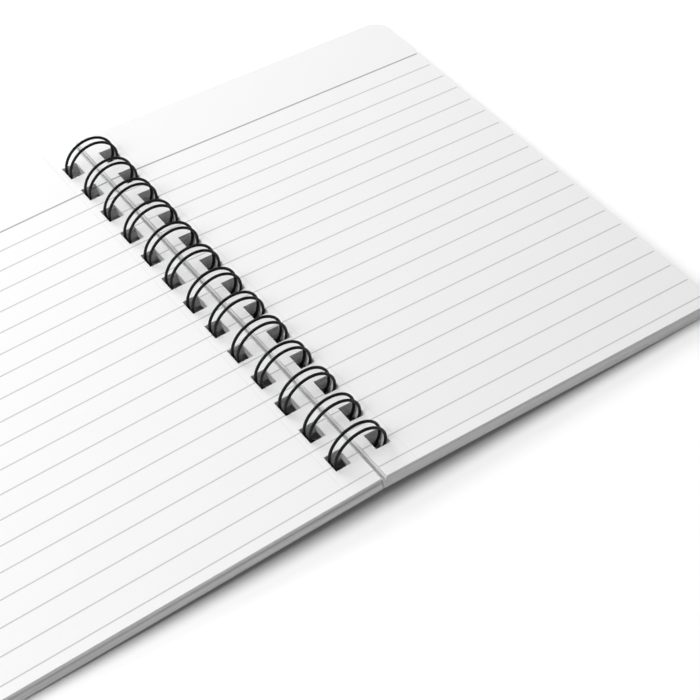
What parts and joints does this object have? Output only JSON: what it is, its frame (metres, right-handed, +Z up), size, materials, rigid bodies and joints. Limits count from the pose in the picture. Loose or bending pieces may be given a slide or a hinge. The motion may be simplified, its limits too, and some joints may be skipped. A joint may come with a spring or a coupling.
{
  "type": "open spiral notebook",
  "caption": "Ruled notebook lying open at its middle, its punched leaves and card covers turning on a double-loop wire along the spine.",
  "frame": {"origin": "on the table, under the middle of the spine", "axes": "+X across the spine to the right-hand page, +Y up the page to its head, +Z up from the table"},
  "size_m": [0.2564, 0.1778, 0.0185],
  "materials": {
    "page_paper": "matt uncoated",
    "cover_card": "matt dark grey card with a pale core",
    "black_wire": "satin black coat"
  },
  "bodies": {
    "binding": {"binding_wire": "black_wire"},
    "front_cover": {"front_cover": "cover_card"},
    "left_pages": {"left_pages": "page_paper"},
    "back_cover": {"back_cover": "cover_card"},
    "right_pages": {"right_pages": "page_paper"}
  },
  "joints": [
    {"name": "front_cover_turn", "type": "hinge", "parent": "binding", "child": "front_cover", "pos_m": [0, 0, 0.00928], "axis": [0, 1, 0], "range_deg": [0, 183.2]},
    {"name": "left_pages_turn", "type": "hinge", "parent": "front_cover", "child": "left_pages", "pos_m": [0, 0, 0.00928], "axis": [0, 1, 0], "range_deg": [0, 176.8]},
    {"name": "back_cover_turn", "type": "hinge", "parent": "binding", "child": "back_cover", "pos_m": [0, 0, 0.00928], "axis": [0, -1, 0], "range_deg": [0, 183.2]},
    {"name": "right_pages_turn", "type": "hinge", "parent": "back_cover", "child": "right_pages", "pos_m": [0, 0, 0.00928], "axis": [0, -1, 0], "range_deg": [0, 176.8]}
  ]
}
